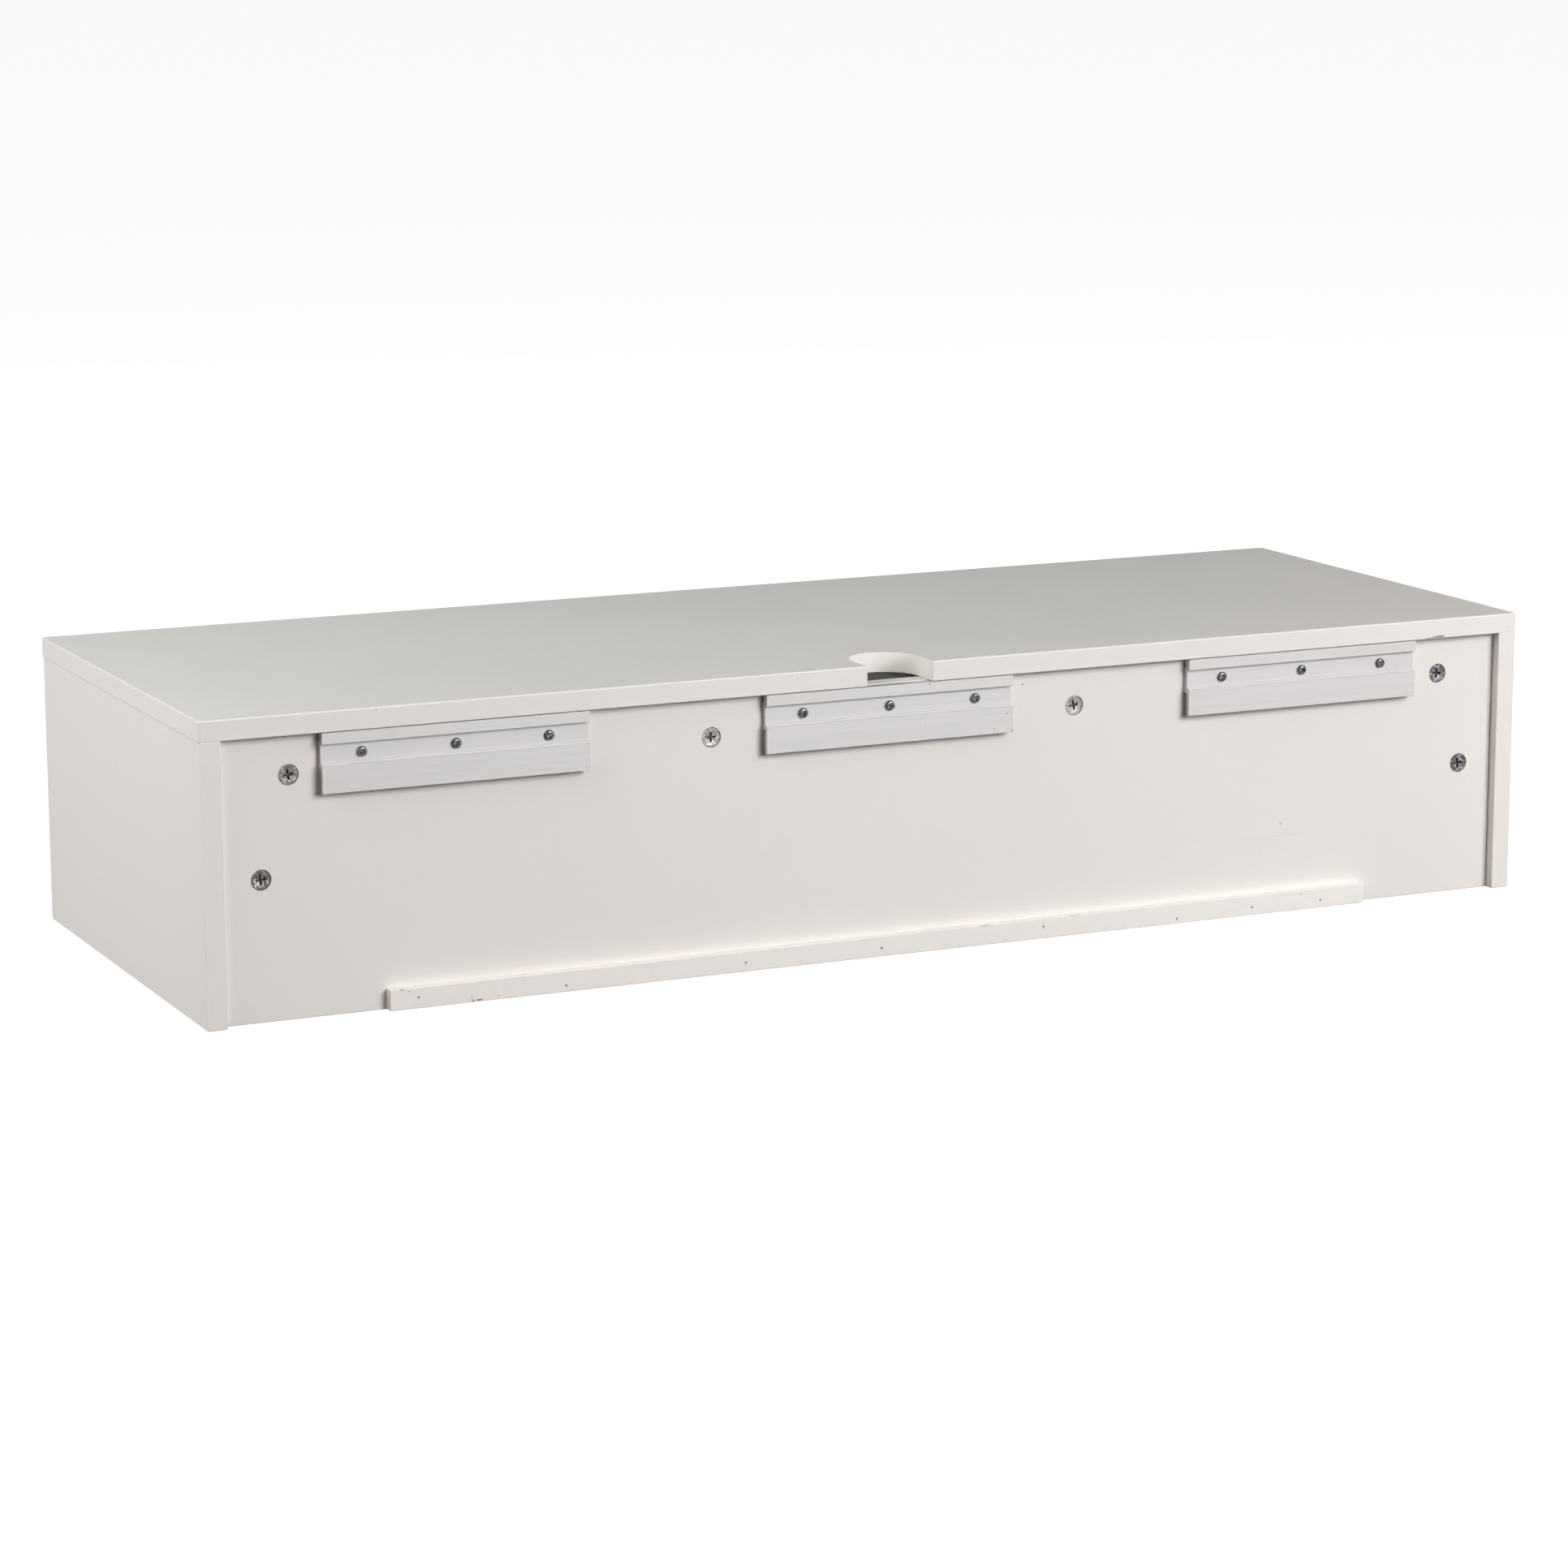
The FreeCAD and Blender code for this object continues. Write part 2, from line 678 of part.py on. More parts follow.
def hanging_rails(back):
    """Three lengths of one extrusion, screwed to the back panel just under the top panel."""
    head_radius, head_height, shank_radius, length, recess = 3.75, 2.4, 1.9, 15.5, 2.1
    pilot_depth = 11.5
    screw = pan_head_screw("rail_screw", head_radius, head_height, shank_radius, length, recess)
    section = rail_section()
    step_front = D.rail_web + D.rail_step_depth
    channel_low = D.rail_land + D.rail_channel
    rail_top = D.side_height - D.rail_gap
    middles = {"left": D.left_rail_offset, "middle": D.middle_rail_offset, "right": D.right_rail_offset}
    steps = (-1, 0, 1)
    screws = []
    turns = iter(SCREW_TURNS)

    def outer_corner(edge):
        """A long edge on the rail's outermost face, or the one on the front of the ledge's step."""
        box = edge.BoundBox
        if box.XLength < 1:
            return False
        on_step = abs(box.YMin - step_front.value) < 0.01 and abs(box.ZMin + channel_low.value) < 0.01
        return abs(box.YMin - D.back_recess.value) < 0.01 or on_step

    for name, middle in middles.items():
        body = new_body(name + "_hanging_rail")
        place(body, (middle - D.rail_length / 2, back_rear, rail_top))
        sketch = new_sketch(body, "YZ_Plane")
        outline(sketch, section)
        pad(body, sketch, D.rail_length)
        ease(body, "Chamfer", D.rail_arris, outer_corner)
        offsets = [D.rail_length / 2 + step * D.rail_screw_pitch for step in steps]
        sketch = new_sketch(body, "XZ_Plane")
        circles(sketch, [(offset, -D.rail_screw_drop) for offset in offsets], D.rail_screw_hole)
        pocket(body, sketch, D.rail_web)
        sub_parts.append(body)
        height = rail_top - D.rail_screw_drop
        xs = [middle + step * D.rail_screw_pitch for step in steps]
        back.drill("rear", [(x, back_rear, height) for x in xs], shank_radius + D.fit, pilot_depth)
        for x in xs:
            spot = (x, back_rear + D.rail_web, height)
            screws.append((screw, spot, facing((0, 1, 0), (1, 0, 0), next(turns))))
    group("hanging_rail_screws", *screws)


def spacer_strip(back):
    """A strip that keeps the cabinet's lower edge off the wall by as much as the rails do."""
    low = (D.strip_offset - D.strip_length / 2, back_rear, 0)
    strip_arris = 0.5
    strip = Board("spacer_strip", low, (D.strip_length, D.strip_thickness, D.strip_height), strip_arris)
    radius, length, sink, point, tip_radius, hole_end = 0.8, 17, 0.6, 1.5, 0.2, 1
    points = [(as_length(x), back_rear, as_length(z)) for x, z in BRADS]
    strip.drill("rear", points, radius + D.fit / 2, D.strip_thickness)
    back.drill("rear", points, radius + D.fit / 2, length - D.strip_thickness + hole_end)
    brad = new_body("brad")
    corners = [(0, 0), (radius, 0), (radius, point - length), (tip_radius, -length), (0, -length)]
    revolve(brad, corners)
    surface = back_rear + D.strip_thickness - sink
    placed = [(brad, (x, surface, z), facing((0, 1, 0), (1, 0, 0))) for x, _, z in points]
    group("spacer_brads", *placed)


# ---------------------------------------------------------------- slides


def outer_member():
    """The channel screwed to the cabinet: web on X = 0, front end at Y = 0."""
    steel, half = D.slide_steel, D.slide_half_height
    lip_height = 3.9
    mouth, lip = as_length(8.6), half - lip_height
    section = [(0, -half), (mouth, -half), (mouth, -lip), (mouth - steel, -lip)]
    section += [(mouth - steel, steel - half), (steel, steel - half)]
    return channel("outer_member", section, -half)


def inner_member():
    """The narrower channel screwed to the drawer, inside the outer one."""
    steel, half, mouth = D.slide_steel, as_length(11), as_length(3.2)
    section = [(D.slide_space, -half), (mouth, -half), (mouth, steel - half)]
    section += [(D.slide_space - steel, steel - half)]
    return channel("inner_member", section, -half)


def channel(name, lower_half, low):
    """A rolled channel, its section mirrored about the middle, with countersunk screw holes."""
    upper_half = [(x, -z) for x, z in reversed(lower_half)]
    body = new_body(name)
    sketch = new_sketch(body, "XZ_Plane")
    outline(sketch, lower_half + upper_half)
    pad(body, sketch, D.slide_length, backwards=True)
    web = as_length(lower_half[0][0])
    edge_height = abs(low.value)

    def bend(edge):
        box = edge.BoundBox
        on_rim = abs(abs(box.ZMin) - edge_height) < 0.01 and box.ZLength < 0.01
        return on_rim and box.YLength > 1

    bend_radius = 0.9
    ease(body, "Fillet", bend_radius, bend)
    holes = [(y, as_length(0)) for y in SLIDE_HOLES]
    inwards = web.value == 0
    sketch = new_sketch(body, "YZ_Plane", web)
    circles(sketch, holes, D.slide_hole)
    pocket(body, sketch, D.slide_steel, backwards=inwards)
    return body


def ball_cage():
    """A thin strip bent to a channel, with a row of ball holes in each flange."""
    body = new_body("ball_cage")
    rear, mouth, half, steel = as_length(1.7), as_length(6.9), as_length(14), as_length(0.6)
    window_margin, ball_hole = as_length(9), 2.6
    lower_half = [(rear, -half), (mouth, -half), (mouth, steel - half), (rear + steel, steel - half)]
    section = lower_half + [(x, -z) for x, z in reversed(lower_half)]
    sketch = new_sketch(body, "XZ_Plane")
    outline(sketch, section)
    pad(body, sketch, cage_length, backwards=True)
    window = rectangle(window_margin, -window_margin, cage_length - 2 * window_margin, 2 * window_margin)
    sketch = new_sketch(body, "YZ_Plane")
    outline(sketch, window)
    pocket(body, sketch, mouth, backwards=True)
    sketch = new_sketch(body, "XY_Plane", half)
    circles(sketch, [(D.ball_depth, y) for y in ball_row], ball_hole)
    pocket(body, sketch, 2 * half)
    return body


def slide_masters():
    head_radius, shank_radius, length, recess = 3.2, 1.7, 11, 1.8
    ball = doc.addObject("Part::Sphere", "ball")
    bind(ball, "Radius", D.ball_radius)
    return SimpleNamespace(
        outer=outer_member(),
        inner=inner_member(),
        cage=ball_cage(),
        ball=ball,
        screw=flat_head_screw(
            "slide_screw", head_radius, D.slide_steel.value, shank_radius, length, recess
        ),
    )


def slide_pair(bay, masters):
    """The two slides of a bay. The right one is the left one turned half round about Z."""
    name = bay + "_drawer"
    middle = BAYS[bay] * (bay_width + D.board)
    half_turn = Rotation(Vector(0, 0, 1), 180)
    placed = {part: [] for part in ("outer_slides", "inner_slides", "ball_cages", "slide_balls")}
    screws = []
    for s, turn in ((-1, Rotation()), (1, half_turn)):
        wall = middle + s * bay_width / 2

        def spot(along, across=0, up=0):
            """A place on this slide: distance from its front end, from its wall and above its axis."""
            return (wall - s * across, slide_front + along, slide_height + up)

        def whole(length, start=0):
            """The origin of a copy that spans from start to start + length behind the front end."""
            return spot(start if s < 0 else start + length)

        placed["outer_slides"].append((masters.outer, whole(D.slide_length), turn))
        placed["inner_slides"].append((masters.inner, whole(D.slide_length), turn))
        placed["ball_cages"].append((masters.cage, whole(cage_length, cage_start), turn))
        for y in ball_row:
            for up in (-D.ball_height, D.ball_height):
                centre = spot(cage_start + y, D.ball_depth, up)
                placed["slide_balls"].append((masters.ball, centre, Rotation()))
        for hole in SLIDE_HOLES:
            along = hole if s < 0 else D.slide_length - hole
            towards_wall = facing((-s, 0, 0), (0, 1, 0))
            outer_screws.append((masters.screw, spot(along, D.slide_steel), towards_wall))
            towards_drawer = facing((s, 0, 0), (0, 1, 0))
            screws.append((masters.screw, spot(along, D.slide_space - D.slide_steel), towards_drawer))
    for part, copies in placed.items():
        group(f"{name}_{part}", *copies)
    group(name + "_inner_slide_screws", *screws)


def slide_screw_points(x, s):
    """The slide screws' places on a wall at x that carries the bay's left (-1) or right (1) slide."""
    stations = [hole if s < 0 else D.slide_length - hole for hole in SLIDE_HOLES]
    return [(x, slide_front + station, slide_height) for station in stations]


def slide_screw_holes(sides, dividers):
    for s in (-1, 1):
        inner_face, outer_face = ("right", "left") if s < 0 else ("left", "right")
        # A side panel carries the slide on its own side of the outer bay.
        sides[s].drill(inner_face, slide_screw_points(0, s), D.slide_pilot, D.slide_pilot_depth)
        # A divider carries the outer bay's other slide on one face and the middle bay's on the other.
        dividers[s].drill(outer_face, slide_screw_points(0, -s), D.slide_pilot, D.slide_pilot_depth)
        dividers[s].drill(inner_face, slide_screw_points(0, s), D.slide_pilot, D.slide_pilot_depth)


# ---------------------------------------------------------------- drawers


def drawer(bay, dowel_master, knob_screw_master):
    name = bay + "_drawer"
    middle = BAYS[bay] * (bay_width + D.board)
    box_half = bay_width / 2 - D.slide_space
    inner_half = box_half - D.box_board
    box_low = D.board + D.box_lift
    groove_low = box_low + D.groove_lift
    groove_top = groove_low + D.box_bottom + 2 * D.fit
    box_rear = box_front + D.box_length
    tongue = D.groove_depth - D.dowel_clearance
    box_arris = 0.5

    panel = Board(
        name + "_front",
        (middle - bay_width / 2 + D.reveal, front, D.board + D.reveal),
        (bay_width - 2 * D.reveal, D.board, D.side_height - D.board - 2 * D.reveal),
        D.arris,
    )
    groove_ends = (middle - inner_half - D.groove_depth, middle + inner_half + D.groove_depth)
    panel.groove("rear", (groove_ends[0], 0, groove_low), (groove_ends[1], 0, groove_top), D.groove_depth)
    walls = {
        s: Board(
            f"{name}_{side}_side",
            (middle + (inner_half if s > 0 else -box_half), box_front, box_low),
            (D.box_board, D.box_length, D.box_height),
            box_arris,
        )
        for s, side in ((-1, "left"), (1, "right"))
    }
    back = Board(
        name + "_back",
        (middle - inner_half, box_rear - D.box_board, groove_top),
        (2 * inner_half, D.box_board, box_low + D.box_height - groove_top),
        box_arris,
    )
    Board(
        name + "_bottom",
        (middle - inner_half - tongue, box_front - tongue, groove_low + D.fit),
        (2 * (inner_half + tongue), D.box_length + tongue, D.box_bottom),
    )
    box_dowels(name, panel, walls, back, middle, inner_half, box_rear, dowel_master)
    for s, wall in walls.items():
        inner_face, outer_face = ("right", "left") if s < 0 else ("left", "right")
        wall.groove(inner_face, (0, box_front, groove_low), (0, box_rear, groove_top), D.groove_depth)
        wall.drill(outer_face, slide_screw_points(0, s), D.slide_pilot, D.slide_pilot_depth)
    knob(name, panel, middle, knob_screw_master)


def box_dowels(name, panel, walls, back, middle, inner_half, box_rear, master):
    """Two dowels at each corner of the box."""
    placed = []
    radius, depth = D.box_dowel_radius + D.fit, D.box_dowel_half + 0.3
    heights = [slide_height + step for step in BOX_DOWEL_STEPS]
    for s, wall in walls.items():
        x = middle + s * (inner_half + D.box_board / 2)
        points = [(x, box_front, z) for z in heights]
        panel.drill("rear", points, radius, depth)
        wall.drill("front", points, radius, depth)
        placed += [(master, point, facing((0, 1, 0), (1, 0, 0))) for point in points]
        x = middle + s * inner_half
        points = [(x, box_rear - D.box_board / 2, z) for z in heights]
        wall_face, end_face = ("right", "left") if s < 0 else ("left", "right")
        wall.drill(wall_face, points, radius, depth)
        back.drill(end_face, points, radius, depth)
        placed += [(master, point, facing((1, 0, 0), (0, 1, 0))) for point in points]
    group(name + "_box_dowels", *placed)


def knob(name, panel, middle, screw_master):
    """A turned metal knob, held by a machine screw from inside the drawer."""
    height = D.board + (D.side_height - D.board) / 2
    reach, disc = D.knob_reach, D.knob_radius
    hole = D.knob_screw_radius + D.fit
    foot, foot_height, stem, stem_start = 8, 2, 5.5, 4
    rim, flare, hole_end = 7, 9, 10
    body = new_body(name + "_knob")
    corners = [(hole, 0), (foot, 0), (foot, foot_height), (stem, stem_start)]
    corners += [(stem, reach - flare - 3), (disc - 2, reach - flare), (disc, reach - rim), (disc, reach)]
    corners += [(0, reach), (0, reach - hole_end), (hole, reach - hole_end - 1)]
    revolve(body, corners)
    face_rounding, rear_rounding = 2.2, 1.2
    ease(body, "Fillet", face_rounding, lambda edge: is_ring(edge, disc.value, reach.value))
    ease(body, "Fillet", rear_rounding, lambda edge: is_ring(edge, disc.value, reach.value - rim))
    place(body, (middle, front, height), facing((0, -1, 0), (1, 0, 0)))
    sub_parts.append(body)
    clearance, recess_turn = 0.2, 30
    panel.drill("front", [(middle, front, height)], D.knob_screw_radius + clearance, D.board)
    spot = (middle, box_front, height)
    group(name + "_knob_screw", (screw_master, spot, facing((0, 1, 0), (1, 0, 0), recess_turn)))


# ---------------------------------------------------------------- the document

doc = FreeCAD.newDocument("drawer_cabinet")
D = spreadsheet(DRIVING)
sub_parts = []
outer_screws = []

rear = (D.side_depth + D.knob_reach) / 2
front = rear - D.side_depth
back_rear = rear - D.back_recess
back_front = back_rear - D.board
bay_width = (D.width_over_sides - 4 * D.board) / 3
divider_middle = (bay_width + D.board) / 2
box_front = front + D.board
slide_front = box_front + D.slide_start
slide_height = D.board + D.box_lift + D.box_height / 2
cage_play = 0.5
cage_length = D.slide_length - D.slide_travel - 2 * cage_play
cage_start = D.slide_travel / 2 + cage_play
ball_row = [cage_length / 2 + step * D.ball_pitch for step in BALL_STEPS]

carcass()
slides = slide_masters()
box_dowel = dowel("box_dowel", D.box_dowel_radius, D.box_dowel_half)
knob_screw = pan_head_screw(
    "knob_screw", head_radius=4, head_height=2.6, shank_radius=2, length=24, recess=2.2
)
for bay_name in BAYS:
    slide_pair(bay_name, slides)
    drawer(bay_name, box_dowel, knob_screw)
group("outer_slide_screws", *outer_screws)
doc.recompute()


def check(document):
    """Stops on a failed object, a bad shape or a cut that took nothing away."""
    for item in document.Objects:
        if "Invalid" in item.State or "Error" in item.State:
            raise RuntimeError(f"{item.Name} is {item.State}")
        if item.TypeId in ("PartDesign::Pocket", "PartDesign::Groove"):
            removed = item.BaseFeature.Shape.Volume - item.Shape.Volume
            if removed < 0.01:
                raise RuntimeError(f"{item.Name} removed {removed} mm3")
    for item in sub_parts:
        if item.Shape.isNull() or not item.Shape.isValid():
            raise RuntimeError(f"{item.Label} has a bad shape")


check(doc)
os.makedirs("parts", exist_ok=True)
for sub_part in sub_parts:
    sub_part.Shape.exportStep(f"parts/{sub_part.Label}.step")
print(len(sub_parts), "sub-parts")
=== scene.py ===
"""The looks of a white lacquered drawer cabinet that hangs on a wall, seen from behind.

Metres, in the part's own frame: +Y is the wall, +X is the left of the picture, Z = 0 is the underside.
"""

import json
import math

import bpy
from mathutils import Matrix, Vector

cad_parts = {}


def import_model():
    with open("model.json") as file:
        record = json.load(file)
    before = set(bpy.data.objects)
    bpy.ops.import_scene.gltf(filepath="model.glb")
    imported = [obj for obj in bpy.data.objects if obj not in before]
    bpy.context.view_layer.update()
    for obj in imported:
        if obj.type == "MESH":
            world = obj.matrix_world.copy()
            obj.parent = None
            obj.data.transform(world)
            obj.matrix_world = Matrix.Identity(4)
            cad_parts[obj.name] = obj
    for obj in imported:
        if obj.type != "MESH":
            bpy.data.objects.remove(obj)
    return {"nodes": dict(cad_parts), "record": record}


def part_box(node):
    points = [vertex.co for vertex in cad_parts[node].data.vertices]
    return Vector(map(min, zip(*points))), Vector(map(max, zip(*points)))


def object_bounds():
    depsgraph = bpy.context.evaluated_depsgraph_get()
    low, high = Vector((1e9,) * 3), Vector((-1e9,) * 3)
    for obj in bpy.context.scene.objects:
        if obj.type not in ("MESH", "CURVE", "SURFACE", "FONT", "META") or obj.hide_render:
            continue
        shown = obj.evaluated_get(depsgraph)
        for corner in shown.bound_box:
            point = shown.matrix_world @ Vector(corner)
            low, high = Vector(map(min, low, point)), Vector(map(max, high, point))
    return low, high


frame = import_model()
cad_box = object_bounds()

MM = 0.001

# The camera stands behind the cabinet, to its left in the picture, and looks down a little.
CAMERA_PLACE = (1.46198, 3.13591, 0.7896)
CAMERA_ANGLES = (78.5913, 0.0817, 154.9823)
LENS = 104.717
SENSOR = 36.0

# What the camera sees behind the object
WHITE = 0.99
# The dim studio round the object, which lights it but isn't seen
STUDIO = (0.035, 0.032, 0.03)
# A pale floor, seen only in reflections, which fades in between these two heights of the view's direction
MIRRORED_FLOOR = (0.5, 0.49, 0.48)
MIRRORED_ABOVE = 0.05
MIRRORED_BELOW = -0.15
# The floor that the object stands on
FLOOR_SIZE = 60.0
FLOOR_DROP = 0.4 * MM
FLOOR_GLOW = 0.92

# Sockets of a colour Mix node
MIX_SHARE = 0
MIX_FIRST = 6
MIX_SECOND = 7
MIX_RESULT = 2

# The lacquer's colour wanders between these two, and these pieces are whiter by that factor.
LACQUER = ((0.785, 0.753, 0.733), (0.805, 0.773, 0.753))
WHITER = {"spacer_strip": 1.09}

CHIP = (0.13, 0.095, 0.075)
SCUFF = (0.42, 0.38, 0.34)

# Small damage on the rear faces. Each mark is its distance from the +X end of its piece, its height above the
# piece's lowest point, its half width and half height, in millimetres, and its colour and strength.
MARKS = {
    "spacer_strip": [
        (8.7, 14.6, 2.0, 0.5, CHIP, 0.7),
        (14.1, 13.0, 0.9, 0.5, SCUFF, 0.8),
        (61.2, 3.0, 0.35, 3.4, CHIP, 0.55),
        (62.4, 1.0, 1.2, 0.9, (0.45, 0.33, 0.16), 0.8),
        (66.9, 1.3, 2.6, 0.8, CHIP, 0.75),
        (81.4, 2.6, 1.6, 0.6, SCUFF, 0.5),
        (743.6, 12.0, 1.1, 0.5, CHIP, 0.6),
        (470.0, 14.6, 5.0, 0.35, CHIP, 0.6),
        (545.0, 14.8, 7.0, 0.3, SCUFF, 0.7),
    ],
    "back_panel": [
        (847.6, 67.5, 1.6, 1.2, SCUFF, 0.45),
        (844.5, 58.2, 33.0, 0.5, SCUFF, 0.16),
        (622.7, 193.2, 0.9, 0.8, CHIP, 0.6),
    ],
    "top_panel": [
        (998.0, 1.3, 6.0, 0.9, CHIP, 0.8),
        (991.0, 0.7, 8.0, 0.6, SCUFF, 0.8),
        (450.5, 10.4, 0.25, 3.0, SCUFF, 0.6),
        (128.6, 13.6, 1.2, 0.5, SCUFF, 0.6),
    ],
    "middle_hanging_rail": [
        (194.9, 14.8, 0.6, 0.9, CHIP, 0.6),
        (184.8, 3.5, 0.5, 1.0, CHIP, 0.6),
        (199.6, 1.6, 0.8, 0.9, CHIP, 0.8),
        (130.9, 41.8, 0.6, 1.5, CHIP, 0.5),
        (127.7, 12.9, 0.6, 0.8, SCUFF, 0.5),
    ],
}


class Finish:
    """A material in the making: one Principled shader, and the nodes that vary it over the surface."""

    def __init__(self, name, **constants):
        self.material = bpy.data.materials.new(name)
        self.material.use_nodes = True
        self.tree = self.material.node_tree
        self.tree.nodes.clear()
        self.shader = self.add("BsdfPrincipled")
        self.feed(self.add("OutputMaterial").inputs["Surface"], self.shader.outputs["BSDF"])
        for socket, value in constants.items():
            self.shader.inputs[socket.replace("_", " ")].default_value = value
        self.place = self.add("TexCoord").outputs["Object"]

    def add(self, kind, **settings):
        node = self.tree.nodes.new("ShaderNode" + kind)
        for key, value in settings.items():
            setattr(node, key, value)
        return node

    def feed(self, socket, value):
        """Links an output to a socket, or sets the socket to a plain value."""
        if isinstance(value, bpy.types.NodeSocket):
            self.tree.links.new(value, socket)
        elif isinstance(value, (tuple, list)) and len(value) == 3 and socket.type == "RGBA":
            socket.default_value = (*value, 1.0)
        else:
            socket.default_value = value

    def number(self, operation, *values):
        node = self.add("Math", operation=operation)
        for socket, value in zip(node.inputs, values):
            self.feed(socket, value)
        return node.outputs[0]

    def vector(self, operation, *values):
        node = self.add("VectorMath", operation=operation)
        for socket, value in zip(node.inputs, values):
            self.feed(socket, value)
        return node.outputs["Value" if operation in ("LENGTH", "DOT_PRODUCT") else "Vector"]

    def fit(self, value, low, high, to_low=0.0, to_high=1.0):
        """The value eased from the span low..high to the span to_low..to_high, and held at its ends."""
        node = self.add("MapRange", interpolation_type="SMOOTHSTEP")
        for socket, setting in zip(node.inputs, (value, low, high, to_low, to_high)):
            self.feed(socket, setting)
        return node.outputs["Result"]

    def mix(self, share, first, second):
        node = self.add("Mix", data_type="RGBA")
        self.feed(node.inputs[MIX_SHARE], share)
        self.feed(node.inputs[MIX_FIRST], first)
        self.feed(node.inputs[MIX_SECOND], second)
        return node.outputs[MIX_RESULT]

    def stretched(self, stretch):
        """The place on the surface, with lengths divided by stretch."""
        return self.vector("DIVIDE", self.place, tuple(stretch))

    def noise(self, size, stretch=(1, 1, 1), detail=2.0, roughness=0.5):
        """Soft noise with features of that size, longer by stretch along each axis."""
        node = self.add("TexNoise")
        self.feed(node.inputs["Vector"], self.stretched(stretch))
        self.feed(node.inputs["Scale"], 1.0 / size)
        self.feed(node.inputs["Detail"], detail)
        self.feed(node.inputs["Roughness"], roughness)
        return node.outputs["Fac"]

    def cells(self, size, stretch=(1, 1, 1)):
        """Distance to the nearest of scattered points, a crystal size apart."""
        node = self.add("TexVoronoi", feature="SMOOTH_F1")
        self.feed(node.inputs["Vector"], self.stretched(stretch))
        self.feed(node.inputs["Scale"], 1.0 / size)
        self.feed(node.inputs["Smoothness"], 0.4)
        return node.outputs["Distance"]

    def edges(self, reach):
        """1 on sharp edges, falling to 0 at that distance from them."""
        rounded = self.add("Bevel", samples=6)
        self.feed(rounded.inputs["Radius"], reach)
        flat = self.add("NewGeometry").outputs["Normal"]
        likeness = self.vector("DOT_PRODUCT", rounded.outputs["Normal"], flat)
        return self.fit(likeness, 0.99, 0.8)

    def facing(self, direction, tolerance=0.3):
        """1 on faces that look along that direction."""
        flat = self.add("NewGeometry").outputs["Normal"]
        return self.fit(self.vector("DOT_PRODUCT", flat, direction), 1.0 - tolerance, 1.0 - tolerance / 3)

    def spot(self, centre, size):
        """1 inside a ragged patch of those half sizes, 0 outside it."""
        offset = self.vector("DIVIDE", self.vector("SUBTRACT", self.place, centre), size)
        ragged = self.number("MULTIPLY_ADD", self.noise(0.9 * MM, detail=3.0), 0.9, -0.45)
        reach = self.number("ADD", self.vector("LENGTH", offset), ragged)
        return self.fit(reach, 1.1, 0.6)

    def bump(self, *layers):
        """Stacks bumps on the shader's normal; each layer is a height socket and its depth in metres."""
        below = None
        for height, depth in layers:
            node = self.add("Bump")
            self.feed(node.inputs["Height"], height)
            self.feed(node.inputs["Distance"], depth)
            if below is not None:
                self.feed(node.inputs["Normal"], below)
            below = node.outputs["Normal"]
        self.feed(self.shader.inputs["Normal"], below)

    def paint(self, colour=None, roughness=None):
        if colour is not None:
            self.feed(self.shader.inputs["Base Color"], colour)
        if roughness is not None:
            self.feed(self.shader.inputs["Roughness"], roughness)


def marked(finish, colour, node):
    """The colour with the small damage of that node's rear face painted over it, and where that damage is."""
    low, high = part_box(node)
    damage = 0.0
    for along, up, half_width, half_height, tone, strength in MARKS.get(node, []):
        centre = (high.x - along * MM, high.y, low.z + up * MM)
        patch = finish.spot(centre, (half_width * MM, 1.6 * MM, half_height * MM))
        share = finish.number("MULTIPLY", patch, strength)
        colour = finish.mix(share, colour, tone)
        damage = finish.number("MAXIMUM", damage, share)
    return colour, damage


def lacquer(name, node=None):
    """Satin white lacquer on fibreboard: orange peel, slow waves, chipped edges, and a painted highlight
    along the edges.
    """
    finish = Finish(name, Specular_IOR_Level=0.3)
    broad = finish.noise(0.35, detail=3.0)
    mottle = finish.noise(9 * MM, detail=4.0, roughness=0.6)
    tone = WHITER.get(node, 1.0)
    darker, lighter = (tuple(tone * part for part in colour) for colour in LACQUER)
    colour = finish.mix(finish.fit(broad, 0.3, 0.7), darker, lighter)
    colour = finish.mix(finish.fit(mottle, 0.35, 0.75, 0.0, 0.12), colour, (0.74, 0.705, 0.68))
    edge = finish.edges(1.1 * MM)
    # Painted highlight: the sharp edges are lightened towards near white in noisy patches.
    highlight_breakup = finish.fit(finish.noise(14 * MM, detail=4.0), 0.45, 0.75, 0.0, 0.35)
    edge_share = finish.number("MULTIPLY", edge, highlight_breakup)
    colour = finish.mix(edge_share, colour, (0.87, 0.85, 0.82))
    chips = finish.fit(finish.noise(3.5 * MM, detail=5.0), 0.70, 0.76, 0.0, 0.7)
    chipped = finish.number("MULTIPLY", edge, chips)
    colour = finish.mix(chipped, colour, (0.36, 0.29, 0.22))
    damage = 0.0
    if node is not None:
        colour, damage = marked(finish, colour, node)
    sheen = finish.fit(finish.noise(60 * MM, detail=3.0), 0.3, 0.7, 0.56, 0.64)
    worn = finish.number("MAXIMUM", chipped, damage)
    finish.paint(colour, finish.number("MULTIPLY_ADD", worn, 0.4, sheen))
    peel = finish.noise(1.3 * MM, detail=2.0)
    wave = finish.noise(40 * MM, detail=1.0)
    dent = finish.number("MULTIPLY", worn, -1.0)
    finish.bump((peel, 0.012 * MM), (wave, 0.05 * MM), (dent, 0.12 * MM))
    return finish.material


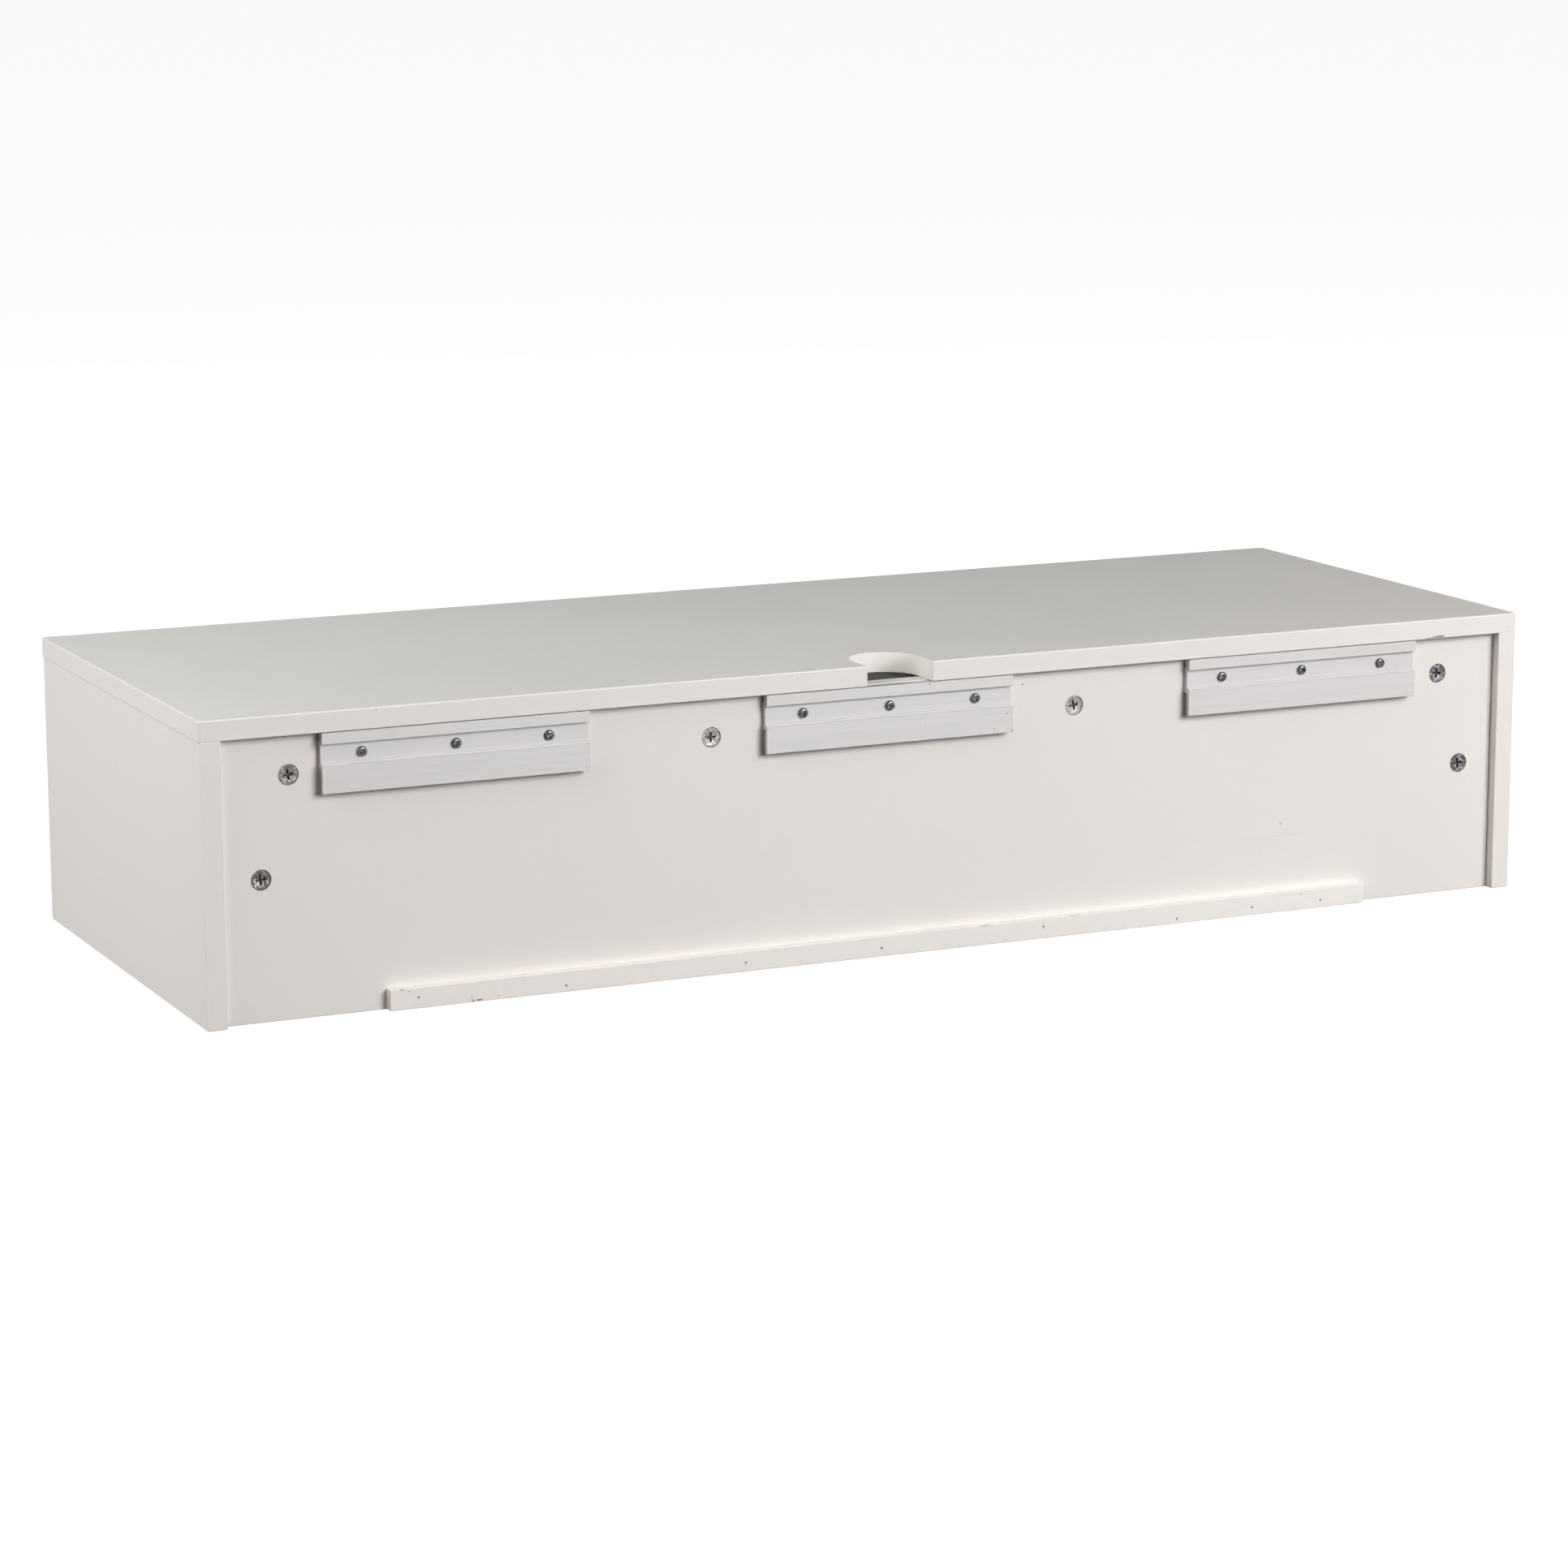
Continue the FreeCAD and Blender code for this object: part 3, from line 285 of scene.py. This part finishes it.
def melamine():
    """White melamine with its printed pebble grain."""
    finish = Finish("drawer_board")
    broad = finish.noise(0.2, detail=2.0)
    grain = finish.noise(0.7 * MM, (2.5, 2.5, 1), detail=3.0, roughness=0.7)
    colour = finish.mix(finish.fit(broad, 0.3, 0.7), (0.80, 0.79, 0.765), (0.84, 0.832, 0.81))
    colour = finish.mix(finish.fit(grain, 0.5, 0.8, 0.0, 0.15), colour, (0.68, 0.66, 0.63))
    edge_share = finish.number("MULTIPLY", finish.edges(0.9 * MM), 0.35)
    colour = finish.mix(edge_share, colour, (0.70, 0.66, 0.60))
    finish.paint(colour, finish.fit(grain, 0.3, 0.7, 0.42, 0.6))
    finish.bump((grain, 0.03 * MM))
    return finish.material


def hardboard():
    """Hardboard: white face up, brown screen-pressed face down."""
    finish = Finish("drawer_bottom")
    white_grain = finish.noise(1.1 * MM, detail=3.0)
    white = finish.mix(finish.fit(white_grain, 0.4, 0.8, 0.0, 0.4), (0.82, 0.81, 0.79), (0.74, 0.72, 0.69))
    fibre = finish.noise(2.2 * MM, (4, 1, 1), detail=6.0, roughness=0.7)
    brown = finish.mix(finish.fit(fibre, 0.3, 0.7), (0.16, 0.085, 0.04), (0.30, 0.18, 0.10))
    screen = finish.cells(1.6 * MM)
    below = finish.facing((0, 0, -1))
    finish.paint(finish.mix(below, white, brown), finish.fit(below, 0.0, 1.0, 0.45, 0.8))
    height = finish.number("MULTIPLY", screen, finish.fit(below, 0.0, 1.0, 0.1, 1.0))
    finish.bump((height, 0.15 * MM))
    return finish.material


def aluminium(name, node):
    """Satin extruded aluminium: die lines along its length, and saw marks on its cut ends."""
    finish = Finish(name, Metallic=0.5)
    fine = finish.noise(0.35 * MM, (260, 1, 1), detail=3.0, roughness=0.7)
    bands = finish.noise(2.6 * MM, (120, 1, 1), detail=2.0)
    cloud = finish.noise(30 * MM, (2, 1, 1), detail=3.0)
    saw = finish.noise(0.25 * MM, (1, 30, 1), detail=2.0)
    ends = finish.number("MAXIMUM", finish.facing((1, 0, 0)), finish.facing((-1, 0, 0)))
    colour = finish.mix(finish.fit(bands, 0.3, 0.7), (0.61, 0.595, 0.60), (0.65, 0.635, 0.64))
    colour = finish.mix(finish.fit(fine, 0.45, 0.8, 0.0, 0.25), colour, (0.53, 0.52, 0.525))
    colour = finish.mix(finish.fit(cloud, 0.4, 0.7, 0.0, 0.12), colour, (0.57, 0.56, 0.565))
    # Painted highlight: the sharp edges are lightened towards near white.
    painted_edge_highlight = finish.number("MULTIPLY", finish.edges(0.35 * MM), 0.6)
    colour = finish.mix(painted_edge_highlight, colour, (0.90, 0.89, 0.89))
    colour, damage = marked(finish, colour, node)
    gloss = finish.fit(bands, 0.3, 0.7, 0.56, 0.62)
    finish.paint(colour, finish.number("MULTIPLY_ADD", damage, 0.3, gloss))
    lines = finish.mix(ends, fine, saw)
    finish.bump((lines, 0.012 * MM))
    return finish.material


def die_cast_zinc():
    """Rough die-cast zinc with a lumpy skin.

    The locks near the middle of the cabinet are brighter, those on the -X side bluish, the low ones darker.
    All that lies deeper than the faces of the back panel's locks is painted nearly black as painted shade:
    their recesses, and also the locks in the other boards.
    """
    finish = Finish("cam_zinc", Metallic=0.7)
    lumps = finish.cells(1.7 * MM)
    grit = finish.noise(0.5 * MM, detail=5.0, roughness=0.7)
    cloud = finish.noise(3 * MM, detail=2.0)
    split = finish.add("SeparateXYZ")
    finish.feed(split.inputs[0], finish.place)
    across, height = split.outputs["X"], split.outputs["Z"]
    outer = finish.fit(finish.number("ABSOLUTE", across), 0.2, 0.4)
    colour = finish.mix(outer, (0.42, 0.415, 0.41), (0.23, 0.225, 0.215))
    colour = finish.mix(finish.fit(across, -0.2, -0.45), colour, (0.155, 0.16, 0.18))
    colour = finish.mix(finish.fit(height, 0.15, 0.11, 0.0, 0.35), colour, (0.05, 0.05, 0.055))
    colour = finish.mix(finish.fit(grit, 0.4, 0.75, 0.0, 0.6), colour, (0.10, 0.10, 0.10))
    glint = finish.number("MULTIPLY", finish.fit(cloud, 0.5, 0.66), 0.55)
    colour = finish.mix(glint, colour, (0.70, 0.70, 0.70))
    edge_share = finish.number("MULTIPLY", finish.edges(0.4 * MM), 0.4)
    colour = finish.mix(edge_share, colour, (0.6, 0.6, 0.59))
    # Painted shade: all that lies below the faces of the back panel's locks goes nearly black.
    shade_depth = finish.number("SUBTRACT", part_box("back_panel")[1].y, split.outputs["Y"])
    colour = finish.mix(finish.fit(shade_depth, 1.3 * MM, 1.9 * MM, 0.0, 0.85), colour, (0.02, 0.02, 0.02))
    finish.paint(colour, finish.fit(grit, 0.3, 0.7, 0.32, 0.5))
    finish.bump((lumps, 0.35 * MM), (grit, 0.12 * MM))
    return finish.material


def plated(name, dark, light, gloss, cloud_size=2 * MM, scratch=0.3):
    """Plated steel: a cloudy plate with rubbed edges and fine scratches."""
    finish = Finish(name, Metallic=1.0)
    cloud = finish.noise(cloud_size, detail=4.0, roughness=0.6)
    lines = finish.noise(0.12 * MM, (9, 9, 1), detail=2.0)
    colour = finish.mix(finish.fit(cloud, 0.3, 0.7), dark, light)
    colour = finish.mix(finish.number("MULTIPLY", finish.edges(0.25 * MM), 0.5), colour, (0.85, 0.84, 0.82))
    roughness = finish.fit(cloud, 0.3, 0.7, gloss, gloss + 0.14)
    finish.paint(colour, finish.number("MULTIPLY_ADD", lines, scratch * 0.2, roughness))
    finish.bump((lines, 0.008 * MM), (cloud, 0.03 * MM))
    return finish.material


def rolled_zinc(name, tone):
    """Zinc plated strip steel: lines along the rolling direction and faint spangle."""
    finish = Finish(name, Metallic=1.0)
    lines = finish.noise(0.3 * MM, (1, 120, 1), detail=3.0, roughness=0.7)
    spangle = finish.cells(4 * MM, (1, 2, 1))
    light = tuple(min(1.0, 1.15 * part) for part in tone)
    colour = finish.mix(finish.fit(spangle, 0.1, 0.6), tone, light)
    colour = finish.mix(finish.fit(lines, 0.45, 0.8, 0.0, 0.3), colour, tuple(0.7 * part for part in tone))
    colour = finish.mix(finish.number("MULTIPLY", finish.edges(0.4 * MM), 0.4), colour, (0.9, 0.9, 0.9))
    finish.paint(colour, finish.fit(spangle, 0.1, 0.6, 0.26, 0.40))
    finish.bump((lines, 0.01 * MM), (spangle, 0.02 * MM))
    return finish.material


def turned_nickel():
    """Turned and brushed nickel: fine rings about each knob's axis."""
    finish = Finish("knob_nickel", Metallic=1.0)
    rings = finish.noise(0.18 * MM, (40, 1, 40), detail=2.0)
    cloud = finish.noise(6 * MM, detail=3.0)
    colour = finish.mix(finish.fit(cloud, 0.3, 0.7), (0.66, 0.645, 0.62), (0.76, 0.745, 0.72))
    colour = finish.mix(finish.fit(rings, 0.45, 0.8, 0.0, 0.35), colour, (0.50, 0.49, 0.47))
    colour = finish.mix(finish.number("MULTIPLY", finish.edges(0.6 * MM), 0.5), colour, (0.9, 0.89, 0.87))
    finish.paint(colour, finish.fit(cloud, 0.3, 0.7, 0.22, 0.32))
    finish.bump((rings, 0.012 * MM))
    return finish.material


def beech():
    """Plain beech dowel: long grain along the dowel and short dark flecks."""
    finish = Finish("dowel_wood")
    grain = finish.noise(0.9 * MM, (1, 6, 6), detail=5.0, roughness=0.65)
    flecks = finish.noise(0.5 * MM, (1, 8, 8), detail=1.0)
    colour = finish.mix(finish.fit(grain, 0.3, 0.7), (0.60, 0.42, 0.25), (0.76, 0.60, 0.42))
    colour = finish.mix(finish.fit(flecks, 0.62, 0.72, 0.0, 0.6), colour, (0.34, 0.20, 0.11))
    finish.paint(colour, finish.fit(grain, 0.3, 0.7, 0.55, 0.75))
    finish.bump((grain, 0.05 * MM))
    return finish.material


def finish_nodes():
    """Gives each CAD node the finish of its material slot. A piece with marks gets a copy of its own."""
    shared = {
        "drawer_board": melamine(),
        "drawer_bottom": hardboard(),
        "screw_steel": plated("screw_steel", (0.07, 0.07, 0.07), (0.36, 0.355, 0.35), 0.2),
        "bolt_steel": plated("bolt_steel", (0.52, 0.51, 0.47), (0.70, 0.69, 0.65), 0.24),
        "brad_steel": plated("brad_steel", (0.05, 0.045, 0.04), (0.16, 0.14, 0.12), 0.4, 0.6 * MM),
        "ball_steel": plated("ball_steel", (0.70, 0.70, 0.71), (0.80, 0.80, 0.81), 0.08, 1 * MM, 0.1),
        "cam_zinc": die_cast_zinc(),
        "slide_steel": rolled_zinc("slide_steel", (0.60, 0.61, 0.62)),
        "cage_steel": rolled_zinc("cage_steel", (0.48, 0.48, 0.47)),
        "knob_nickel": turned_nickel(),
        "dowel_wood": beech(),
        "white_lacquer": lacquer("white_lacquer"),
    }
    own = {"white_lacquer": lacquer, "rail_aluminium": aluminium}
    for part in frame["record"]["subparts"]:
        name, slot = part["node"], part["material_slot"]
        if name in MARKS or slot not in shared:
            material = own[slot](slot + "_" + name, name)
        else:
            material = shared[slot]
        for holder in frame["nodes"][name].material_slots:
            holder.material = material


def floor():
    """A pale floor that glows enough to run into the white behind it, with hardly any shadow."""
    half = FLOOR_SIZE / 2
    mesh = bpy.data.meshes.new("floor")
    corners = [(x * half, y * half, -FLOOR_DROP) for x, y in ((-1, -1), (1, -1), (1, 1), (-1, 1))]
    mesh.from_pydata(corners, [], [(0, 1, 2, 3)])
    ground = bpy.data.objects.new("floor", mesh)
    bpy.context.scene.collection.objects.link(ground)
    pale = Finish("pale_floor", Roughness=0.9)
    pale.paint(pale.mix(pale.noise(0.5), (0.55, 0.55, 0.55), (0.6, 0.6, 0.6)))
    pale.shader.inputs["Emission Color"].default_value = (1, 1, 1, 1)
    pale.shader.inputs["Emission Strength"].default_value = FLOOR_GLOW
    mesh.materials.append(pale.material)
    ground.visible_diffuse = False
    ground.visible_glossy = False


def world():
    """White behind the object, a dim studio round it, and a pale floor in what shiny surfaces mirror."""
    scene_world = bpy.data.worlds.new("studio")
    scene_world.use_nodes = True
    bpy.context.scene.world = scene_world
    tree = scene_world.node_tree
    tree.nodes.clear()
    output = tree.nodes.new("ShaderNodeOutputWorld")
    choose = tree.nodes.new("ShaderNodeMixShader")
    seen = tree.nodes.new("ShaderNodeBackground")
    around = tree.nodes.new("ShaderNodeBackground")
    path = tree.nodes.new("ShaderNodeLightPath")
    place = tree.nodes.new("ShaderNodeTexCoord")
    split = tree.nodes.new("ShaderNodeSeparateXYZ")
    below = tree.nodes.new("ShaderNodeMapRange")
    mirrored = tree.nodes.new("ShaderNodeMath")
    studio = tree.nodes.new("ShaderNodeMix")
    seen.inputs["Color"].default_value = (WHITE, WHITE, WHITE, 1)
    below.inputs["From Min"].default_value = MIRRORED_ABOVE
    below.inputs["From Max"].default_value = MIRRORED_BELOW
    mirrored.operation = "MULTIPLY"
    studio.data_type = "RGBA"
    studio.inputs[MIX_FIRST].default_value = (*STUDIO, 1)
    studio.inputs[MIX_SECOND].default_value = (*MIRRORED_FLOOR, 1)
    link = tree.links.new
    link(place.outputs["Generated"], split.inputs[0])
    link(split.outputs["Z"], below.inputs["Value"])
    link(below.outputs["Result"], mirrored.inputs[0])
    link(path.outputs["Is Glossy Ray"], mirrored.inputs[1])
    link(mirrored.outputs[0], studio.inputs[MIX_SHARE])
    link(studio.outputs[MIX_RESULT], around.inputs["Color"])
    link(path.outputs["Is Camera Ray"], choose.inputs[0])
    link(around.outputs[0], choose.inputs[1])
    link(seen.outputs[0], choose.inputs[2])
    link(choose.outputs[0], output.inputs["Surface"])


def area_light(name, place, outwards, size, power, colour):
    """A square light that the camera doesn't see, shining against the outwards direction."""
    light = bpy.data.lights.new(name, "AREA")
    light.shape = "SQUARE"
    light.size = size
    light.energy = power
    light.color = colour
    holder = bpy.data.objects.new(name, light)
    holder.location = place
    holder.rotation_euler = outwards.to_track_quat("Z", "Y").to_euler()
    holder.visible_camera = False
    bpy.context.scene.collection.objects.link(holder)
    return holder


def softbox(name, direction, distance, size, power, colour):
    """A softbox in that direction and distance from the cabinet's middle, turned towards it."""
    middle = (cad_box[0] + cad_box[1]) / 2
    outwards = Vector(direction).normalized()
    return area_light(name, middle + outwards * distance, outwards, size, power, colour)


def lights():
    """A large light behind the cabinet, on the side of its rear face, and weaker ones round it."""
    softbox("key", (-0.4, 1.0, 0.45), 4.5, 2.2, 184, (0.99, 1.0, 0.99))
    softbox("left_fill", (1.0, -0.15, 0.35), 2.5, 1.2, 27, (0.93, 1.0, 1.0))
    softbox("left_warm", (1.0, 0.3, 0.6), 2.5, 1.2, 18, (1.0, 0.78, 0.73))
    softbox("top_left", (0.8, 0.25, 1.0), 2.5, 1.2, 8.5, (0.60, 1.0, 0.95))
    softbox("right_fill", (-1.0, 0.7, 0.5), 1.6, 0.6, 2.5, (1.0, 0.87, 0.86))
    softbox("front_high", (0.3, -1.0, 1.1), 3.0, 1.0, 2, (1.0, 1.0, 1.0))
    # The low front light would be mirrored in the top panel if glossy surfaces saw it.
    front = softbox("front_fill", (-0.25, -1.0, -0.05), 4.0, 1.6, 175, (1.0, 1.0, 1.0))
    front.visible_glossy = False
    # A faint light inside the middle drawer keeps the cable notch from going black.
    low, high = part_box("middle_drawer_back")
    place = ((low.x + high.x) / 2, low.y - 10 * MM, high.z - 30 * MM)
    area_light("inside", place, Vector((0, 1, 0)), 0.05, 0.04, (1.0, 1.0, 1.0))


def camera():
    lens = bpy.data.cameras.new("camera")
    lens.lens = LENS
    lens.sensor_width = SENSOR
    holder = bpy.data.objects.new("camera", lens)
    holder.location = CAMERA_PLACE
    holder.rotation_euler = [math.radians(angle) for angle in CAMERA_ANGLES]
    bpy.context.scene.collection.objects.link(holder)
    bpy.context.scene.camera = holder


camera()
world()
lights()
floor()
finish_nodes()
bpy.context.scene.view_settings.view_transform = "Standard"
